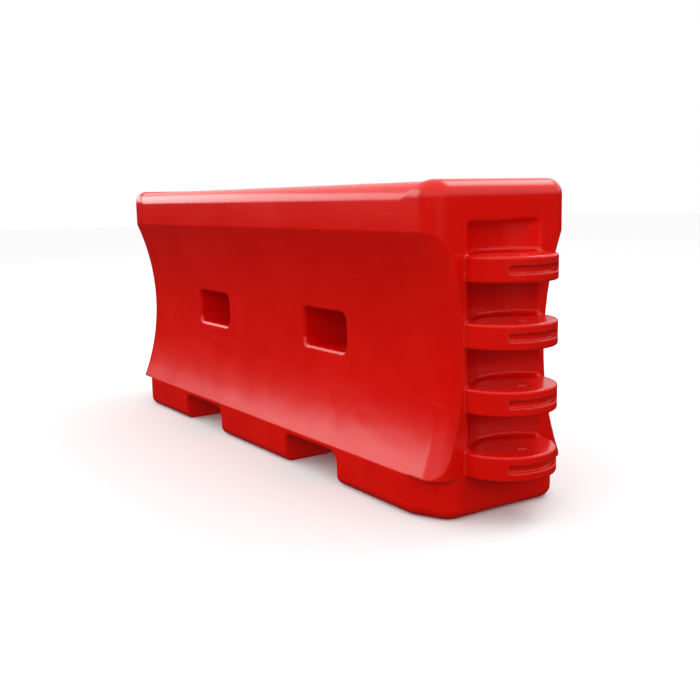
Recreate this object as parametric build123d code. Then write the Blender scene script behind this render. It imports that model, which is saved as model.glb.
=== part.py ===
"""Water filled barrier: one hollow moulded tank with hinge lugs at both ends, a filler cap and a drain plug.

Frame: X along the barrier, Y across it, +Z up, millimetres.
The origin is the middle of the footprint, on the ground.
"""
from build123d import *
import os
from math import degrees, sqrt

# ---- tank: overall sizes -------------------------------------------------
LENGTH = 2000.0             # end plane to end plane, without the lugs
WIDTH = 476.0
HEIGHT = 878.0              # top of the two end crowns
WALL = 5.0                  # moulded wall
CROWN_STEP = 5.0            # the end crowns stand this much above the top between them
CROWN_RAMP = 8.0            # the step up to a crown is a short slope
CROWN_LENGTH = 58.0         # length of each end crown along X
PLAN_RADIUS = 58.0          # upright corners of the top band
TOP_RADIUS = 44.0           # rounding round the top

# ---- hollow sides --------------------------------------------------------
BAND_BOTTOM = 748.0         # lower edge of the top band
SKIRT_TOP = 113.0           # upper edge of the upright skirt
SIDE_DEPTH = 66.0           # depth of the hollow side at its middle
SIDE_RADIUS = 66.0          # upright corners of the hollow sides
SIDE_CREASE = 9.0           # they are cut off this much before they run out, which leaves a crease

# ---- skirt, feet and fork passages ---------------------------------------
FOOT_CORNER_X = 112.0       # the feet are cut back at the four outer corners
FOOT_CORNER_Y = 52.0
FOOT_BLEND = 60.0           # blend at both ends of that cut
SOLE_RADIUS = 32.0          # rounding under the feet
PASSAGE_CENTRE = 385.0      # fork passages, either side of the middle foot
PASSAGE_WIDTH = 302.0
PASSAGE_HEIGHT = 97.0
PASSAGE_CORNER = 34.0
PASSAGE_LIP = 10.0
KEEL_WIDTH = 160.0          # shallow channel along the underside
KEEL_DEPTH = 7.0

# ---- windows -------------------------------------------------------------
WINDOW_CENTRE = 385.0
WINDOW_LENGTH = 240.0
WINDOW_HEIGHT = 118.0
WINDOW_Z = 443.0
WINDOW_CORNER = 24.0
WINDOW_LIP = 11.0

# ---- hinge lugs and the pockets between them -----------------------------
LUG_RADIUS = 136.0          # about the middle of the end plane
LUG_THICKNESS = 66.0
LUG_PITCH = 168.0
LUG_COUNT = 4
NEAR_LUG_Z = 117.0          # underside of the lowest lug at the +X end
FAR_LUG_Z = 196.0           # the -X end is half a pitch higher, so that barriers interleave
LUG_EDGE = 6.0
PIN_OFFSET = 75.0           # pin axis beyond the end plane
PIN_HOLE = 26.0             # bore for the coupling pin
POCKET_HALF_WIDTH = 126.0   # on the end plane, a little inside the lugs' corners
POCKET_EDGE = 12.0
POCKET_MOUTH = 9.0
PIN_HOLE_RIM = 2.0
TOP_POCKET_HEIGHT = 85.0    # pocket over the top lug at the +X end
LOW_POCKET_HEIGHT = 98.0    # pocket under the lowest lug at the -X end
GROOVE_HEIGHT = 20.0
GROOVE_DEPTH = 12.0
GROOVE_HALF_ANGLE = 38.0
GROOVE_END = 8.0

# ---- filler --------------------------------------------------------------
WELL_FINGER_GAP = 26.0      # between the cap and the well that keeps it below the top
WELL_DEPTH = 46.0
WELL_FLOOR_EDGE = 8.0
WELL_RIM = 7.0
COLLAR_FLANGE_WIDTH = 14.0
COLLAR_FLANGE = 5.0
COLLAR_WALL = 8.0
COLLAR_BORE_RADIUS = 40.0
COLLAR_DROP = 26.0          # length of the barrel below the well's floor
COLLAR_CHAMFER = 2.0
SEAL_THICKNESS = 3.0
SEAL_WIDTH = 8.0
SEAL_BORE_CLEARANCE = 0.3   # seal round the cap's plug
FIT_CLEARANCE = 0.05        # running fit of a screwed plug in its bore
SEAT_GAP = 0.1              # under each seal when it is home
CAP_OVERHANG = 8.0          # head beyond the seal
CAP_HEAD = 14.0
CAP_PLUG_LENGTH = 22.0
CAP_WALL = 5.0
CAP_EDGE = 3.0
CAP_FLUTES = 24
CAP_FLUTE_RADIUS = 3.0
CAP_GRIP_LENGTH = 76.0
CAP_GRIP_WIDTH = 16.0
CAP_GRIP_HEIGHT = 12.0
CAP_GRIP_EDGE = 3.0

# ---- drain ---------------------------------------------------------------
DRAIN_RIM = 3.0
DRAIN_RIM_SHARE = 0.8       # of the flat wall left round the pocket, at most
DRAIN_TOOL_GAP = 9.0        # between the insert's flange and the pocket
DRAIN_POCKET_DEPTH = 26.0
DRAIN_FLANGE_WIDTH = 7.0
DRAIN_FLANGE = 4.0
DRAIN_WALL = 5.0
DRAIN_BORE_RADIUS = 15.0
DRAIN_REACH = 18.0          # length of the insert's barrel behind the pocket's floor
DRAIN_CHAMFER = 1.5
DRAIN_SEAL = 2.5
DRAIN_SEAL_WIDTH = 5.0
PLUG_OVERHANG = 2.0         # head beyond the seal
PLUG_HEAD = 6.0
PLUG_SHANK = 15.0
PLUG_WALL = 3.5
PLUG_EDGE = 2.0
PLUG_HEX = 24.0             # across the flats
PLUG_HEX_HEIGHT = 9.0

# ---- derived heights -----------------------------------------------------
END_X = LENGTH / 2
SIDE_Y = WIDTH / 2
MID_TOP = HEIGHT - CROWN_STEP
WELL_FLOOR = MID_TOP - WELL_DEPTH
COLLAR_BARREL_RADIUS = COLLAR_BORE_RADIUS + COLLAR_WALL
COLLAR_FLANGE_RADIUS = COLLAR_BARREL_RADIUS + COLLAR_FLANGE_WIDTH
CAP_PLUG_RADIUS = COLLAR_BORE_RADIUS - FIT_CLEARANCE
SEAL_INNER_RADIUS = CAP_PLUG_RADIUS + SEAL_BORE_CLEARANCE
CAP_RADIUS = SEAL_INNER_RADIUS + SEAL_WIDTH + CAP_OVERHANG
WELL_RADIUS = max(CAP_RADIUS, COLLAR_FLANGE_RADIUS) + WELL_FINGER_GAP
COLLAR_TOP = WELL_FLOOR + COLLAR_FLANGE
SEAL_BASE = COLLAR_TOP + SEAT_GAP
SEAL_TOP = SEAL_BASE + SEAL_THICKNESS
CAP_TOP = SEAL_TOP + CAP_HEAD
DRAIN_BARREL_RADIUS = DRAIN_BORE_RADIUS + DRAIN_WALL
DRAIN_FLANGE_RADIUS = DRAIN_BARREL_RADIUS + DRAIN_FLANGE_WIDTH
DRAIN_POCKET_RADIUS = DRAIN_FLANGE_RADIUS + DRAIN_TOOL_GAP
DRAIN_WALL_LEFT = (SKIRT_TOP - SOLE_RADIUS) / 2 - DRAIN_POCKET_RADIUS
DRAIN_RIM_RADIUS = min(DRAIN_RIM, DRAIN_RIM_SHARE * DRAIN_WALL_LEFT)
DRAIN_Z = SOLE_RADIUS + DRAIN_RIM_RADIUS + DRAIN_POCKET_RADIUS     # as low as the flat wall allows
PLUG_SHANK_RADIUS = DRAIN_BORE_RADIUS - FIT_CLEARANCE
DRAIN_SEAL_INNER_RADIUS = PLUG_SHANK_RADIUS + SEAL_BORE_CLEARANCE
PLUG_HEAD_RADIUS = DRAIN_SEAL_INNER_RADIUS + DRAIN_SEAL_WIDTH + PLUG_OVERHANG
DRAIN_FLOOR_Y = SIDE_Y - DRAIN_POCKET_DEPTH
DRAIN_FLANGE_Y = DRAIN_FLOOR_Y + DRAIN_FLANGE
DRAIN_SEAL_BASE_Y = DRAIN_FLANGE_Y + SEAT_GAP
DRAIN_SEAL_Y = DRAIN_SEAL_BASE_Y + DRAIN_SEAL
SIDE_SECTIONS = 9           # plan sections through the hollow sides

UPRIGHT = (Align.CENTER, Align.CENTER, Align.MIN)


def side_sink(height):
    """How far the hollow side lies behind the band at a height: a circular arc."""
    half = (BAND_BOTTOM - SKIRT_TOP) / 2
    middle = (BAND_BOTTOM + SKIRT_TOP) / 2
    radius = (half ** 2 + SIDE_DEPTH ** 2) / (2 * SIDE_DEPTH)
    return sqrt(radius ** 2 - (height - middle) ** 2) - (radius - SIDE_DEPTH)


def window(skin, x):
    """Cutter for one window, right through along Y."""
    plan = RectangleRounded(WINDOW_LENGTH + 2 * skin, WINDOW_HEIGHT + 2 * skin, WINDOW_CORNER + skin)
    return extrude(Plane.XZ * Pos(x, WINDOW_Z) * plan, WIDTH, both=True)


def mouth_edges(block, x, half_length, low, high):
    """Edges of a passage or window where it meets the sides, found by their place."""
    near = 1.0
    chosen = []
    for edge in block.edges():
        box = edge.bounding_box()
        inside_x = abs(box.min.X - x) < half_length + near and abs(box.max.X - x) < half_length + near
        inside_z = box.min.Z > low - near and box.max.Z < high + near
        on_side = min(abs(box.min.Y), abs(box.max.Y)) > SIDE_Y / 2
        if inside_x and inside_z and on_side and box.min.Y * box.max.Y > 0:
            chosen.append(edge)
    return chosen


def foot_ledge(skin):
    """Plastic over the feet's cut-back corners, where the hollow side overhangs them."""
    slab = Pos(0, 0, SKIRT_TOP - skin) * Box(2 * LENGTH, 2 * WIDTH, 2 * skin, align=UPRIGHT)
    return slab - extrude(Pos(0, 0, SKIRT_TOP - 2 * skin) * skirt_plan(skin), 4 * skin)


def hollow_middle(skin):
    """The part with hollow sides and two windows, between the skirt and the top band."""
    sections = []
    for index in range(SIDE_SECTIONS):
        height = SKIRT_TOP + (BAND_BOTTOM - SKIRT_TOP) * index / (SIDE_SECTIONS - 1)
        width = WIDTH - 2 * side_sink(height) - 2 * skin
        plan = RectangleRounded(LENGTH + 2 * SIDE_CREASE - 2 * skin, width, SIDE_RADIUS - skin)
        sections.append(Pos(0, 0, height) * plan)
    block = loft(sections)
    prism = RectangleRounded(LENGTH - 2 * skin, WIDTH - 2 * skin, PLAN_RADIUS - skin)
    block &= extrude(Pos(0, 0, SKIRT_TOP) * prism, BAND_BOTTOM - SKIRT_TOP)
    if skin > 0:
        block -= foot_ledge(skin)
    reach = WINDOW_HEIGHT / 2 + skin
    for x in (-WINDOW_CENTRE, WINDOW_CENTRE):
        block -= window(skin, x)
        lips = mouth_edges(block, x, WINDOW_LENGTH / 2 + skin, WINDOW_Z - reach, WINDOW_Z + reach)
        block = fillet(lips, WINDOW_LIP - skin)
    return block


def rounded_top(skin, height):
    """Top band up to a height, with its rounded edge."""
    plan = RectangleRounded(LENGTH - 2 * skin, WIDTH - 2 * skin, PLAN_RADIUS - skin)
    band = extrude(Pos(0, 0, BAND_BOTTOM) * plan, height - skin - BAND_BOTTOM)
    return fillet(band.edges().group_by(Axis.Z)[-1], TOP_RADIUS - skin)


def crowned_top(skin):
    """Top band with the two raised end crowns."""
    reach = END_X - CROWN_LENGTH + skin
    slope = CROWN_RAMP / CROWN_STEP
    foot = reach - slope * (MID_TOP - skin - BAND_BOTTOM)
    top = HEIGHT + 2 * skin
    head = reach + slope * (top - MID_TOP + skin)
    outline = Polyline((-foot, BAND_BOTTOM), (foot, BAND_BOTTOM), (head, top), (-head, top), close=True)
    between = extrude(Plane.XZ * make_face(outline), WIDTH, both=True)
    block = rounded_top(skin, MID_TOP) + (rounded_top(skin, HEIGHT) - between)
    block -= filler_well(skin)
    rim = block.edges().filter_by(GeomType.CIRCLE).filter_by(lambda e: e.radius == WELL_RADIUS + skin)
    return fillet(rim.group_by(Axis.Z)[-1], WELL_RIM - skin)


def skirt_plan(skin):
    """Plan of the skirt and feet, cut back at its four corners."""
    x = END_X - skin
    y = SIDE_Y - skin
    points = []
    for sx, sy in ((1, -1), (1, 1), (-1, 1), (-1, -1)):
        along = (sx * (x - FOOT_CORNER_X), sy * y)
        across = (sx * x, sy * (y - FOOT_CORNER_Y))
        points += [along, across] if sx * sy < 0 else [across, along]
    outline = make_face(Polyline(points, close=True))
    return fillet(outline.vertices(), FOOT_BLEND - skin)


def passage(skin, x):
    """Cutter for one fork passage: open below, rounded at the top corners."""
    width = PASSAGE_WIDTH + 2 * skin
    height = PASSAGE_HEIGHT + skin
    cutter = Pos(x, 0, -height) * Box(width, WIDTH * 2, 2 * height, align=UPRIGHT)
    upper = cutter.edges().filter_by(Axis.Y).group_by(Axis.Z)[-1]
    return fillet(upper, PASSAGE_CORNER + skin)


def skirt(skin):
    """Skirt with three feet and two fork passages."""
    block = extrude(Pos(0, 0, skin) * skirt_plan(skin), SKIRT_TOP - skin)
    block = fillet(block.edges().group_by(Axis.Z)[0], SOLE_RADIUS - skin)
    for x in (-PASSAGE_CENTRE, PASSAGE_CENTRE):
        block -= passage(skin, x)
        mouths = mouth_edges(block, x, PASSAGE_WIDTH / 2 + skin, 0, PASSAGE_HEIGHT + skin)
        block = fillet(mouths, PASSAGE_LIP - skin)
    block -= drain_pocket(skin)
    rim = block.edges().filter_by(GeomType.CIRCLE).filter_by(lambda e: e.radius == DRAIN_POCKET_RADIUS + skin)
    if skin == 0:
        block = fillet(rim.group_by(Axis.Y)[-1], DRAIN_RIM_RADIUS)
    keel = Box(2 * LENGTH, KEEL_WIDTH + 2 * skin, 2 * (KEEL_DEPTH + skin))
    return block - keel


def lug_bottoms(end):
    """Undersides of the lugs at one end: end is 1 for +X and -1 for -X."""
    first = NEAR_LUG_Z if end > 0 else FAR_LUG_Z
    return [first + LUG_PITCH * index for index in range(LUG_COUNT)]


def pocket_spans(end):
    """Floor and ceiling heights of the four pockets at one end."""
    bottoms = lug_bottoms(end)
    spans = [(low + LUG_THICKNESS, high) for low, high in zip(bottoms, bottoms[1:])]
    if end > 0:
        top = bottoms[-1] + LUG_THICKNESS
        return spans + [(top, top + TOP_POCKET_HEIGHT)]
    return [(bottoms[0] - LOW_POCKET_HEIGHT, bottoms[0])] + spans


def pocket(skin, end, floor, ceiling):
    """Cutter for one pocket: a round hollow about the pin axis."""
    radius = sqrt(PIN_OFFSET ** 2 + POCKET_HALF_WIDTH ** 2) + skin
    height = ceiling - floor + 2 * skin
    cutter = Cylinder(radius, height, align=UPRIGHT)
    cutter = fillet(cutter.edges().filter_by(GeomType.CIRCLE), POCKET_EDGE + skin)
    return Pos(end * (END_X + PIN_OFFSET), 0, floor - skin) * cutter


def lug(skin, end, bottom):
    """One hinge lug: a disc on the end plane, half of it inside the tank."""
    disc = Cylinder(LUG_RADIUS - skin, LUG_THICKNESS - 2 * skin, align=UPRIGHT)
    disc = fillet(disc.edges().filter_by(GeomType.CIRCLE), max(LUG_EDGE - skin, 1))
    return Pos(end * END_X, 0, bottom + skin) * disc


def lug_groove(skin, end, bottom):
    """Cutter for the groove round the nose of one lug."""
    outer = LUG_RADIUS + GROOVE_DEPTH
    inner = LUG_RADIUS - GROOVE_DEPTH - skin
    height = GROOVE_HEIGHT + 2 * skin
    profile = Pos((outer + inner) / 2, 0) * Rectangle(outer - inner, height)
    half_angle = GROOVE_HALF_ANGLE + degrees(skin / inner)
    cutter = revolve(Plane.XZ * profile, Axis.Z, 2 * half_angle)
    cutter = Rot(0, 0, -half_angle) * cutter
    ends = [e for e in cutter.edges().filter_by(GeomType.LINE) if abs(e.tangent_at(0).Z) < 0.1]
    cutter = fillet(ends, GROOVE_END + skin)
    turn = 0 if end > 0 else 180
    return Pos(end * END_X, 0, bottom + LUG_THICKNESS / 2) * Rot(0, 0, turn) * cutter


def pin_hole(skin, end, bottom):
    """Cutter for the coupling pin's hole through one lug, with a bevelled rim above and below."""
    radius = PIN_HOLE / 2 + skin
    hole = Cylinder(radius, 2 * LUG_THICKNESS)
    rim = Cone(radius + PIN_HOLE_RIM, radius, PIN_HOLE_RIM, align=UPRIGHT)
    reach = LUG_THICKNESS / 2 - skin
    hole += Pos(0, 0, -reach) * rim
    hole += Pos(0, 0, reach) * Rot(180, 0, 0) * rim
    return Pos(end * (END_X + PIN_OFFSET), 0, bottom + LUG_THICKNESS / 2) * hole


def filler_well(skin):
    """Cutter for the well round the filler cap."""
    cutter = Cylinder(WELL_RADIUS + skin, WELL_DEPTH + skin + HEIGHT, align=UPRIGHT)
    cutter = fillet(cutter.edges().group_by(Axis.Z)[0], WELL_FLOOR_EDGE + skin)
    return Pos(0, 0, WELL_FLOOR - skin) * cutter


def along_y(shape):
    """Turns a shape built up +Z so that it points out of the back, along +Y."""
    return Rot(-90, 0, 0) * shape


def drain_pocket(skin):
    """Cutter for the pocket round the drain plug, in the back of the middle foot."""
    cutter = Cylinder(DRAIN_POCKET_RADIUS + skin, WIDTH, align=UPRIGHT)
    return Pos(0, DRAIN_FLOOR_Y - skin, DRAIN_Z) * along_y(cutter)


def pocket_mouths(form, end, reach):
    """Edges of the pockets' mouths on one end plane."""
    chosen = []
    for edge in form.edges():
        box = edge.bounding_box()
        flat = abs(box.min.X - end * reach) < 0.01 and abs(box.max.X - end * reach) < 0.01
        if flat and max(-box.min.Y, box.max.Y) < LUG_RADIUS:
            chosen.append(edge)
    return chosen


def tank_form(skin):
    """The barrier's solid form, set in by a skin: 0 outside, the wall for the water space."""
    form = skirt(skin) + hollow_middle(skin) + crowned_top(skin)
    for end in (1, -1):
        for floor, ceiling in pocket_spans(end):
            form -= pocket(skin, end, floor, ceiling)
        form = fillet(pocket_mouths(form, end, END_X - skin), POCKET_MOUTH - skin)
        for bottom in lug_bottoms(end):
            form += lug(skin, end, bottom)
            form -= lug_groove(skin, end, bottom)
            form -= pin_hole(skin, end, bottom)
    return form


def tank():
    """Hollow tank with its filler and drain holes."""
    shell = tank_form(0) - tank_form(WALL)
    filler_hole = Cylinder(COLLAR_BARREL_RADIUS, 4 * WALL)
    drain_hole = Cylinder(DRAIN_BARREL_RADIUS, 4 * WALL)
    shell -= Pos(0, 0, WELL_FLOOR) * filler_hole
    shell -= Pos(0, DRAIN_FLOOR_Y, DRAIN_Z) * along_y(drain_hole)
    return shell


def flanged_insert(flange_radius, flange, barrel_radius, barrel, bore_radius, edge):
    """Insert with a flange on z = 0 upwards and a barrel below it, bored right through."""
    head = Cylinder(flange_radius, flange, align=UPRIGHT)
    head = chamfer(head.edges().group_by(Axis.Z)[-1], edge)
    tube = Pos(0, 0, -barrel) * Cylinder(barrel_radius, barrel, align=UPRIGHT)
    bore = Cylinder(bore_radius, 4 * (barrel + flange))
    insert = head + tube - bore
    rim = insert.edges().filter_by(GeomType.CIRCLE).group_by(Axis.Z)[-1].sort_by(SortBy.RADIUS)[0]
    return chamfer(rim, edge / 2)


def seal_ring(inner_radius, width, thickness):
    """Flat ring with rounded outer edges, standing on z = 0."""
    ring = Cylinder(inner_radius + width, thickness, align=UPRIGHT)
    ring = fillet(ring.edges().filter_by(GeomType.CIRCLE), thickness / 4)
    return ring - Cylinder(inner_radius, 4 * thickness)


def filler_collar():
    """Moulded-in insert of the filler mouth."""
    insert = flanged_insert(COLLAR_FLANGE_RADIUS, COLLAR_FLANGE, COLLAR_BARREL_RADIUS,
                            COLLAR_DROP, COLLAR_BORE_RADIUS, COLLAR_CHAMFER)
    return Pos(0, 0, WELL_FLOOR) * insert


def filler_seal():
    """Flat rubber seal that stays on the cap's plug."""
    return Pos(0, 0, SEAL_BASE) * seal_ring(SEAL_INNER_RADIUS, SEAL_WIDTH, SEAL_THICKNESS)


def filler_cap():
    """Screw cap: fluted head, hollow plug and a bar grip."""
    head = Cylinder(CAP_RADIUS, CAP_HEAD, align=UPRIGHT)
    head = fillet(head.edges().group_by(Axis.Z)[-1], CAP_EDGE)
    flute = Cylinder(CAP_FLUTE_RADIUS, 4 * CAP_HEAD)
    head -= PolarLocations(CAP_RADIUS + CAP_FLUTE_RADIUS / 3, CAP_FLUTES) * flute
    grip = Box(CAP_GRIP_LENGTH, CAP_GRIP_WIDTH, CAP_GRIP_HEIGHT, align=UPRIGHT)
    grip = fillet(grip.edges().filter_by(Axis.Z), CAP_GRIP_WIDTH / 2 - 1)
    grip = fillet(grip.edges().group_by(Axis.Z)[-1], CAP_GRIP_EDGE)
    plug = Pos(0, 0, -CAP_PLUG_LENGTH) * Cylinder(CAP_PLUG_RADIUS, CAP_PLUG_LENGTH, align=UPRIGHT)
    hollow = Pos(0, 0, -CAP_PLUG_LENGTH) * Cylinder(CAP_PLUG_RADIUS - CAP_WALL, CAP_PLUG_LENGTH, align=UPRIGHT)
    return Pos(0, 0, SEAL_TOP) * (head + Pos(0, 0, CAP_HEAD) * grip + plug - hollow)


def drain_insert():
    """Moulded-in insert of the drain mouth."""
    insert = flanged_insert(DRAIN_FLANGE_RADIUS, DRAIN_FLANGE, DRAIN_BARREL_RADIUS,
                            DRAIN_REACH, DRAIN_BORE_RADIUS, DRAIN_CHAMFER)
    return Pos(0, DRAIN_FLOOR_Y, DRAIN_Z) * along_y(insert)


def drain_seal():
    """Flat rubber seal that stays on the drain plug."""
    ring = seal_ring(DRAIN_SEAL_INNER_RADIUS, DRAIN_SEAL_WIDTH, DRAIN_SEAL)
    return Pos(0, DRAIN_SEAL_BASE_Y, DRAIN_Z) * along_y(ring)


def drain_plug():
    """Screw plug: round head with a hexagon, and a hollow shank."""
    head = Cylinder(PLUG_HEAD_RADIUS, PLUG_HEAD, align=UPRIGHT)
    head = fillet(head.edges().group_by(Axis.Z)[-1], PLUG_EDGE)
    hexagon = extrude(RegularPolygon(PLUG_HEX / 2, 6, major_radius=False), PLUG_HEX_HEIGHT)
    hexagon = chamfer(hexagon.edges().group_by(Axis.Z)[-1], PLUG_EDGE / 2)
    shank = Pos(0, 0, -PLUG_SHANK) * Cylinder(PLUG_SHANK_RADIUS, PLUG_SHANK, align=UPRIGHT)
    hollow = Pos(0, 0, -PLUG_SHANK) * Cylinder(PLUG_SHANK_RADIUS - PLUG_WALL, PLUG_SHANK, align=UPRIGHT)
    plug = head + Pos(0, 0, PLUG_HEAD) * hexagon + shank - hollow
    return Pos(0, DRAIN_SEAL_Y, DRAIN_Z) * along_y(plug)


NODES = {
    "tank": tank,
    "filler_collar": filler_collar,
    "filler_seal": filler_seal,
    "filler_cap": filler_cap,
    "drain_insert": drain_insert,
    "drain_seal": drain_seal,
    "drain_plug": drain_plug,
}

os.makedirs("parts", exist_ok=True)
for name, make in NODES.items():
    export_step(make(), f"parts/{name}.step")
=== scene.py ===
# %% [markdown]
# # A water filled barrier
#
# A water filled barrier is one big hollow polyethylene moulding. It is made by turning a closed mould full
# of powder in an oven, so every edge is soft, the skin is glossy, and it is never quite flat. The solid
# parts are loaded here as a fixed frame: they give the true sizes, and this script gives the looks.

# %% Load the frame
import bpy
from math import pi, radians
from mathutils import Euler, Matrix, Vector


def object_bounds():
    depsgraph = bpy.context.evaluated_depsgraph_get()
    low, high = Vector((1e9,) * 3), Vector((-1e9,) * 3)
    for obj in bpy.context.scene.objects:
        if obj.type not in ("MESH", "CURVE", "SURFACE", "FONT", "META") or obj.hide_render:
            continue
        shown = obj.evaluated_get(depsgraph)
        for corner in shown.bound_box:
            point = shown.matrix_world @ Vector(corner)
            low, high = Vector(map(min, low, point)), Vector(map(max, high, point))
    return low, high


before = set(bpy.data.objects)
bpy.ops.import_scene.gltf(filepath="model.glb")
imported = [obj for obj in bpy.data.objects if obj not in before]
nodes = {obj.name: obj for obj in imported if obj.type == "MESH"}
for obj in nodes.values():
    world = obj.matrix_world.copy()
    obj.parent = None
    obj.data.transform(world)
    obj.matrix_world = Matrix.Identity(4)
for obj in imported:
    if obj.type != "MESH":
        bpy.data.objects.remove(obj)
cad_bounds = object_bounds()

low, high = [Vector(corner) for corner in cad_bounds]
print("solid parts:", sorted(nodes))
print("overall size in metres:", [round(v, 3) for v in high - low])

# %% [markdown]
# ## Small helpers for materials
#
# Colours are chosen as sRGB hex values, as in a paint program, but a shader works in linear light, so one
# function turns them over. A second one adds a node with its settings and links, which keeps each material
# short enough to read from top to bottom.

# %% Colour and node helpers
MM = 0.001


def hex_colour(code):
    """sRGB hex code to a linear colour with alpha."""
    parts = [int(code[i:i + 2], 16) / 255 for i in (1, 3, 5)]
    linear = [p / 12.92 if p <= 0.04045 else ((p + 0.055) / 1.055) ** 2.4 for p in parts]
    return (*linear, 1.0)


def add_node(tree, kind, inputs=None, **settings):
    """Adds a node. Each input is a plain value, or the output socket that feeds it."""
    node = tree.nodes.new(kind)
    for name, value in settings.items():
        setattr(node, name, value)
    for name, value in (inputs or {}).items():
        if isinstance(value, bpy.types.NodeSocket):
            tree.links.new(value, node.inputs[name])
        else:
            node.inputs[name].default_value = value
    return node


def new_material(name):
    """An empty node material and its tree, with object coordinates ready."""
    material = bpy.data.materials.new(name)
    material.use_nodes = True
    tree = material.node_tree
    tree.nodes.clear()
    place = add_node(tree, "ShaderNodeTexCoord").outputs["Object"]
    return material, tree, place


def finish_material(tree, shader):
    """Joins the shader to the material's output."""
    add_node(tree, "ShaderNodeOutputMaterial", {"Surface": shader.outputs["BSDF"]})


print("white paper is", hex_colour("#ffffff"), "in linear light")

# %% [markdown]
# ## The moulded polyethylene
#
# Rotationally moulded polyethylene is dyed through, glossy but never mirror-like. Four things show that it
# is plastic: a broad soft highlight, a faint ripple some centimetres across where the wall cooled unevenly,
# a fine orange peel a few millimetres across, and edges that are rubbed a little paler where barriers knock
# together, with the same paler colour also painted on as a highlight along the edges. Ripple and orange peel
# are bump, because they are far too shallow to change the outline. The Bevel node rounds the way light falls
# on the creases between faces, as the melting powder does in the mould.

# %% Polyethylene: relief
SOFT_EDGE_MM = 8
RIPPLE_MM = 140
RIPPLE_DEPTH_MM = 6
PEEL_MM = 6                 # coarser than real orange peel, so that it shows from a few metres
PEEL_DEPTH_MM = 0.2


def moulded_relief(tree, place):
    """Soft creases, long ripple and orange peel. Gives the relief and the softened normal."""
    soft_edge = add_node(tree, "ShaderNodeBevel", {"Radius": SOFT_EDGE_MM * MM}, samples=6)
    ripple = add_node(tree, "ShaderNodeTexNoise", {
        "Vector": place, "Scale": 1 / (RIPPLE_MM * MM), "Detail": 2.0, "Roughness": 0.45})
    ripple_bump = add_node(tree, "ShaderNodeBump", {
        "Height": ripple.outputs["Fac"], "Normal": soft_edge.outputs["Normal"],
        "Strength": 0.25, "Distance": RIPPLE_DEPTH_MM * MM})
    peel = add_node(tree, "ShaderNodeTexNoise", {
        "Vector": place, "Scale": 1 / (PEEL_MM * MM), "Detail": 1.0})
    peel_bump = add_node(tree, "ShaderNodeBump", {
        "Height": peel.outputs["Fac"], "Normal": ripple_bump.outputs["Normal"],
        "Strength": 0.12, "Distance": PEEL_DEPTH_MM * MM})
    return peel_bump.outputs["Normal"], soft_edge.outputs["Normal"]


print("relief: creases", SOFT_EDGE_MM, "mm, ripple", RIPPLE_MM, "mm, orange peel", PEEL_MM, "mm")

# %% [markdown]
# ## Wear and painted edge highlight on the polyethylene
#
# These barriers are dragged, stacked and knocked together. The dye goes right through, so a rub doesn't
# show another colour, only a paler and duller red. It could be painted by hand, but worked out from the
# shape it falls where it should: an edge is where the softened normal leaves the true one. The same paler
# colour on the edges is also a painted highlight, standing in for the thin light lines that edges catch.
# Scrapes are noise stretched along the barrier.

# %% Polyethylene: rubbed edges with a painted highlight
SCUFF_MM = 9
# share of the paler colour on the edges, which is partly rub wear and partly a painted highlight
RUB_AND_HIGHLIGHT_STRENGTH = 0.32
RUB_AND_HIGHLIGHT_STARTS = 0.985          # how well the two normals agree where the rub and painted highlight begin
RUB_AND_HIGHLIGHT_FULL = 0.88             # and where they are at their strongest


def rubbed_and_highlit_edges(tree, place, soft_normal):
    """How much an edge is rubbed and painted with a highlight: where the softened normal leaves the true one,
    broken up by noise.
    """
    true_normal = add_node(tree, "ShaderNodeNewGeometry").outputs["Normal"]
    agree = add_node(tree, "ShaderNodeVectorMath", {
        0: soft_normal, 1: true_normal}, operation="DOT_PRODUCT")
    edge = add_node(tree, "ShaderNodeMapRange", {
        "Value": agree.outputs["Value"], "From Min": RUB_AND_HIGHLIGHT_STARTS, "From Max": RUB_AND_HIGHLIGHT_FULL})
    patchy = add_node(tree, "ShaderNodeTexNoise", {
        "Vector": place, "Scale": 1 / (SCUFF_MM * MM), "Detail": 4.0, "Roughness": 0.7})
    amount = add_node(tree, "ShaderNodeMapRange", {
        "Value": patchy.outputs["Fac"], "From Min": 0.35, "From Max": 0.7, "To Max": RUB_AND_HIGHLIGHT_STRENGTH})
    return add_node(tree, "ShaderNodeMath", {
        0: edge.outputs["Result"], 1: amount.outputs["Result"]}, operation="MULTIPLY").outputs[0]


# the paler edge colour is partly rub wear and partly a painted highlight
print("edges are rubbed by up to", RUB_AND_HIGHLIGHT_STRENGTH)

# %% Polyethylene: scrapes
SCUFF_STREAK_MM = 220
SCUFF_STRENGTH = 0.22
SCUFF_THINNESS = 14.0       # how much longer a scrape is than it is wide


def long_scuffs(tree, place):
    """Thin pale scrapes along the barrier, from stacking and dragging."""
    along = add_node(tree, "ShaderNodeMapping", {
        "Vector": place, "Scale": (1.0, SCUFF_THINNESS, SCUFF_THINNESS)})
    streak = add_node(tree, "ShaderNodeTexNoise", {
        "Vector": along.outputs["Vector"], "Scale": 1 / (SCUFF_STREAK_MM * MM),
        "Detail": 5.0, "Roughness": 0.6})
    scrape = add_node(tree, "ShaderNodeMapRange", {
        "Value": streak.outputs["Fac"], "From Min": 0.66, "From Max": 0.78, "To Max": SCUFF_STRENGTH})
    return scrape.outputs["Result"]


print("scrapes are about", SCUFF_STREAK_MM, "mm long")

# %% Polyethylene: colour and gloss
CLOUD_MM = 250
DYE_DARK = "#d80a02"
DYE_LIGHT = "#e31004"
# paler red of rubbed edges and scrapes, also used as a painted highlight along the edges
RUB_AND_HIGHLIGHT_COLOUR = "#f06a50"
RUB_DULLING = 0.3           # added to the roughness where the rub and painted highlight mask is full


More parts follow.
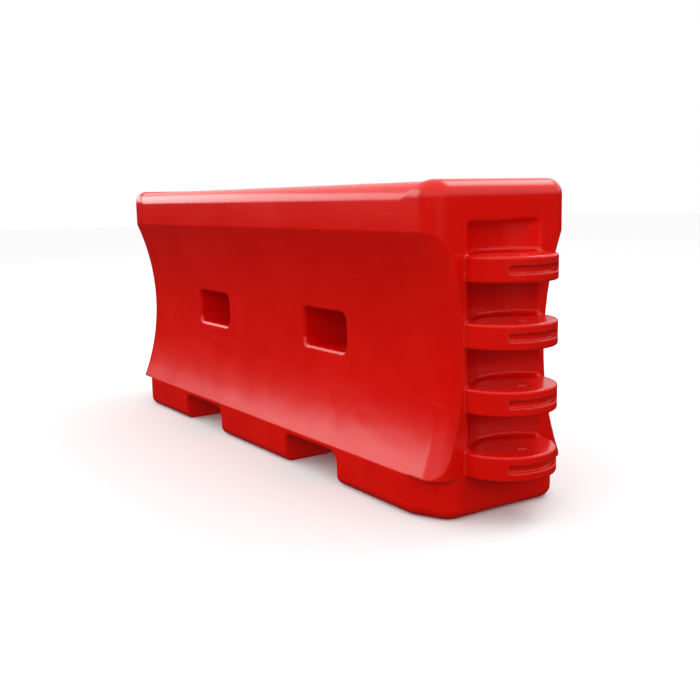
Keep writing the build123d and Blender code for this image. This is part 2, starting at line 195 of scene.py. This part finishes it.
def moulded_polyethylene():
    """Dyed polyethylene from a rotating mould, with rubbed edges that also carry a painted highlight, and
    light scuffs.
    """
    material, tree, place = new_material("rotomoulded_polyethylene_red")
    relief, soft_normal = moulded_relief(tree, place)
    cloud = add_node(tree, "ShaderNodeTexNoise", {
        "Vector": place, "Scale": 1 / (CLOUD_MM * MM), "Detail": 4.0, "Roughness": 0.6})
    tone = add_node(tree, "ShaderNodeValToRGB", {"Fac": cloud.outputs["Fac"]})
    tone.color_ramp.elements[0].position = 0.3
    tone.color_ramp.elements[0].color = hex_colour(DYE_DARK)
    tone.color_ramp.elements[1].position = 0.75
    tone.color_ramp.elements[1].color = hex_colour(DYE_LIGHT)
    # paler edges: partly rub wear, partly a painted highlight along the edges
    rub_and_highlight = rubbed_and_highlit_edges(tree, place, soft_normal)
    scuff = long_scuffs(tree, place)
    wear_and_highlight = add_node(tree, "ShaderNodeMath", {0: rub_and_highlight, 1: scuff}, operation="MAXIMUM").outputs[0]
    colour = add_node(tree, "ShaderNodeMixRGB", {
        "Fac": wear_and_highlight, "Color1": tone.outputs["Color"], "Color2": hex_colour(RUB_AND_HIGHLIGHT_COLOUR)})
    gloss = add_node(tree, "ShaderNodeMapRange", {
        "Value": cloud.outputs["Fac"], "To Min": 0.14, "To Max": 0.26})
    worn_gloss = add_node(tree, "ShaderNodeMath", {
        0: wear_and_highlight, 1: RUB_DULLING, 2: gloss.outputs["Result"]}, operation="MULTIPLY_ADD")
    shader = add_node(tree, "ShaderNodeBsdfPrincipled", {
        "Base Color": colour.outputs["Color"], "Roughness": worn_gloss.outputs[0],
        "Normal": relief, "IOR": 1.5, "Specular IOR Level": 0.4})
    finish_material(tree, shader)
    return material


polyethylene = moulded_polyethylene()
print("made", polyethylene.name)

# %% [markdown]
# ## The black inserts, caps and seals
#
# The collar and the drain insert are moulded in glass-filled nylon, because a thread cut in soft
# polyethylene would strip. It is satin, with a fine speckle from the fibres. The screw caps are injection
# moulded polypropylene, a little glossier. The seals are EPDM rubber, which is dull and blooms to a dusty
# grey. All three are near black, so what sets them apart is how rough they are.

# %% Nylon inserts
NYLON_GRAIN_MM = 1.2
GRAIN_DEPTH_MM = 0.1


def moulded_nylon():
    """Glass-filled nylon: satin black with a fine speckle from the fibres."""
    material, tree, place = new_material("glass_filled_nylon_black")
    grain = add_node(tree, "ShaderNodeTexNoise", {
        "Vector": place, "Scale": 1 / (NYLON_GRAIN_MM * MM), "Detail": 3.0})
    bump = add_node(tree, "ShaderNodeBump", {
        "Height": grain.outputs["Fac"], "Strength": 0.3, "Distance": GRAIN_DEPTH_MM * MM})
    gloss = add_node(tree, "ShaderNodeMapRange", {
        "Value": grain.outputs["Fac"], "To Min": 0.4, "To Max": 0.55})
    shader = add_node(tree, "ShaderNodeBsdfPrincipled", {
        "Base Color": hex_colour("#262629"), "Roughness": gloss.outputs["Result"],
        "Normal": bump.outputs["Normal"], "IOR": 1.53})
    finish_material(tree, shader)
    return material


nylon = moulded_nylon()
print("made", nylon.name)

# %% Polypropylene caps
POLYPROPYLENE_GRAIN_MM = 2.0


def moulded_polypropylene():
    """Injection moulded polypropylene: black with a low sheen."""
    material, tree, place = new_material("injection_moulded_polypropylene_black")
    grain = add_node(tree, "ShaderNodeTexNoise", {
        "Vector": place, "Scale": 1 / (POLYPROPYLENE_GRAIN_MM * MM), "Detail": 2.0})
    bump = add_node(tree, "ShaderNodeBump", {
        "Height": grain.outputs["Fac"], "Strength": 0.2, "Distance": GRAIN_DEPTH_MM * MM})
    gloss = add_node(tree, "ShaderNodeMapRange", {
        "Value": grain.outputs["Fac"], "To Min": 0.3, "To Max": 0.42})
    shader = add_node(tree, "ShaderNodeBsdfPrincipled", {
        "Base Color": hex_colour("#1c1c1f"), "Roughness": gloss.outputs["Result"],
        "Normal": bump.outputs["Normal"], "IOR": 1.49})
    finish_material(tree, shader)
    return material


polypropylene = moulded_polypropylene()
print("made", polypropylene.name)

# %% Rubber seals
BLOOM_MM = 8


def seal_rubber():
    """EPDM rubber: dull dark grey with a dusty bloom."""
    material, tree, place = new_material("epdm_rubber")
    bloom = add_node(tree, "ShaderNodeTexNoise", {
        "Vector": place, "Scale": 1 / (BLOOM_MM * MM), "Detail": 5.0})
    tone = add_node(tree, "ShaderNodeValToRGB", {"Fac": bloom.outputs["Fac"]})
    tone.color_ramp.elements[0].color = hex_colour("#161616")
    tone.color_ramp.elements[1].color = hex_colour("#2b2a29")
    shader = add_node(tree, "ShaderNodeBsdfPrincipled", {
        "Base Color": tone.outputs["Color"], "Roughness": 0.8, "IOR": 1.52})
    finish_material(tree, shader)
    return material


rubber = seal_rubber()
print("made", rubber.name)

# %% Dress the solid parts


def dress(node, material):
    """Puts a material on every slot of a solid part."""
    mesh = nodes[node].data
    mesh.materials.clear()
    mesh.materials.append(material)


dress("tank", polyethylene)
for name in ("filler_collar", "drain_insert"):
    dress(name, nylon)
for name in ("filler_cap", "drain_plug"):
    dress(name, polypropylene)
for name in ("filler_seal", "drain_seal"):
    dress(name, rubber)
print("dressed", len(nodes), "solid parts")

# %% [markdown]
# ## Floor, light and camera
#
# A glossy red moulding is only as red as what it mirrors is dark. So the surroundings are a soft bright sky
# above a dim horizon: surfaces that face up or lean back mirror the sky and turn pink, and upright ones
# stay deep red. The floor is pale, but it is left out of the mirrored and bounced light, so the undersides
# stay dark.

# %% Floor
FLOOR_SIZE = 60.0


def studio_floor():
    """A pale paper floor under the barrier, unseen by mirrored and bounced light."""
    bpy.ops.mesh.primitive_plane_add(size=FLOOR_SIZE, location=(0, 0, low.z))
    floor = bpy.context.object
    floor.name = "studio_floor"
    floor.visible_glossy = False
    floor.visible_diffuse = False
    material, tree, _ = new_material("studio_paper_white")
    shader = add_node(tree, "ShaderNodeBsdfPrincipled", {
        "Base Color": hex_colour("#f2f2f2"), "Roughness": 0.9, "Specular IOR Level": 0.1})
    finish_material(tree, shader)
    floor.data.materials.append(material)


studio_floor()
print("floor", FLOOR_SIZE, "m square at height", round(low.z, 4))

# %% Light
SKY_LIGHT = 1.12
HORIZON_LIGHT = 0.03
GROUND_LIGHT = 0.22
MIRRORED_GROUND = 0.12      # share of the ground's light that the gloss sees
SKY_STOPS = (               # from straight down, 0, to straight up, 1
    (0.0, GROUND_LIGHT), (0.46, GROUND_LIGHT), (0.5, HORIZON_LIGHT), (0.54, HORIZON_LIGHT), (0.62, SKY_LIGHT))


def soft_panel(name, place, target, size, glow, mirrored=True):
    """A rectangular area light that faces its target, as bright as the given glow."""
    data = bpy.data.lights.new(name, "AREA")
    data.shape = "RECTANGLE"
    data.size, data.size_y = size
    data.energy = glow * size[0] * size[1] * pi
    light = bpy.data.objects.new(name, data)
    light.visible_glossy = mirrored
    bpy.context.scene.collection.objects.link(light)
    aim = Vector(target) - Vector(place)
    light.matrix_world = Matrix.Translation(place) @ aim.to_track_quat("-Z", "Y").to_matrix().to_4x4()


def studio_sky():
    """Bright above, dim at the horizon, and plain white where the camera looks past the barrier."""
    world = bpy.data.worlds.new("studio_world")
    bpy.context.scene.world = world
    world.use_nodes = True
    tree = world.node_tree
    tree.nodes.clear()
    direction = add_node(tree, "ShaderNodeTexCoord").outputs["Generated"]
    height = add_node(tree, "ShaderNodeSeparateXYZ", {"Vector": direction}).outputs["Z"]
    spot = add_node(tree, "ShaderNodeMapRange", {"Value": height, "From Min": -1.0, "From Max": 1.0})
    ramp = add_node(tree, "ShaderNodeValToRGB", {"Fac": spot.outputs["Result"]})
    for _ in SKY_STOPS[2:]:
        ramp.color_ramp.elements.new(0.5)
    for element, (position, glow) in zip(ramp.color_ramp.elements, SKY_STOPS):
        element.position = position
        element.color = (glow, glow, glow, 1.0)
    path = add_node(tree, "ShaderNodeLightPath")
    below = add_node(tree, "ShaderNodeMath", {0: height, 1: 0.0}, operation="LESS_THAN")
    mirrored = add_node(tree, "ShaderNodeMath", {
        0: below.outputs[0], 1: path.outputs["Is Glossy Ray"]}, operation="MULTIPLY")
    share = add_node(tree, "ShaderNodeMapRange", {
        "Value": mirrored.outputs[0], "To Min": 1.0, "To Max": MIRRORED_GROUND})
    sky = add_node(tree, "ShaderNodeBackground", {
        "Color": ramp.outputs["Color"], "Strength": share.outputs["Result"]})
    paper = add_node(tree, "ShaderNodeBackground", {"Color": (1, 1, 1, 1)})
    mix = add_node(tree, "ShaderNodeMixShader", {"Fac": path.outputs["Is Camera Ray"]})
    tree.links.new(sky.outputs["Background"], mix.inputs[1])
    tree.links.new(paper.outputs["Background"], mix.inputs[2])
    add_node(tree, "ShaderNodeOutputWorld", {"Surface": mix.outputs["Shader"]})


studio_sky()
soft_panel("left_sky", (-7.0, -4.0, 3.2), (0, 0, 0.5), (8.0, 3.8), 2.6)
soft_panel("front_key", (2.6, -4.8, 2.4), (0.2, 0, 0.4), (3.0, 2.0), 2.6, mirrored=False)
soft_panel("end_fill", (6.0, -1.8, 1.4), (1.0, 0, 0.4), (4.0, 2.5), 1.5, mirrored=False)
soft_panel("edge_light", (0.6, 4.6, 6.2), (0.6, 0, 0.4), (4.0, 2.6), 4.0)
bpy.context.scene.view_settings.view_transform = "Standard"

# %% Camera
CAMERA_PLACE = Vector((2.808, -1.672, 0.835))
CAMERA_TURN = radians(56.67)
CAMERA_DIP = radians(-9.15)
CAMERA_ROLL = radians(-1.22)
LENS_MM = 48.46
SENSOR_MM = 36.0


def add_camera():
    """A camera at standing distance, just under the top of the barrier and looking slightly down."""
    data = bpy.data.cameras.new("camera")
    data.lens = LENS_MM
    data.sensor_width = SENSOR_MM
    camera = bpy.data.objects.new("camera", data)
    bpy.context.scene.collection.objects.link(camera)
    level = Euler((radians(90) + CAMERA_DIP, 0, CAMERA_TURN), "XYZ").to_matrix()
    roll = Matrix.Rotation(CAMERA_ROLL, 3, "Z")
    camera.matrix_world = Matrix.Translation(CAMERA_PLACE) @ (level @ roll).to_4x4()
    bpy.context.scene.camera = camera


add_camera()
print("camera", LENS_MM, "mm lens")
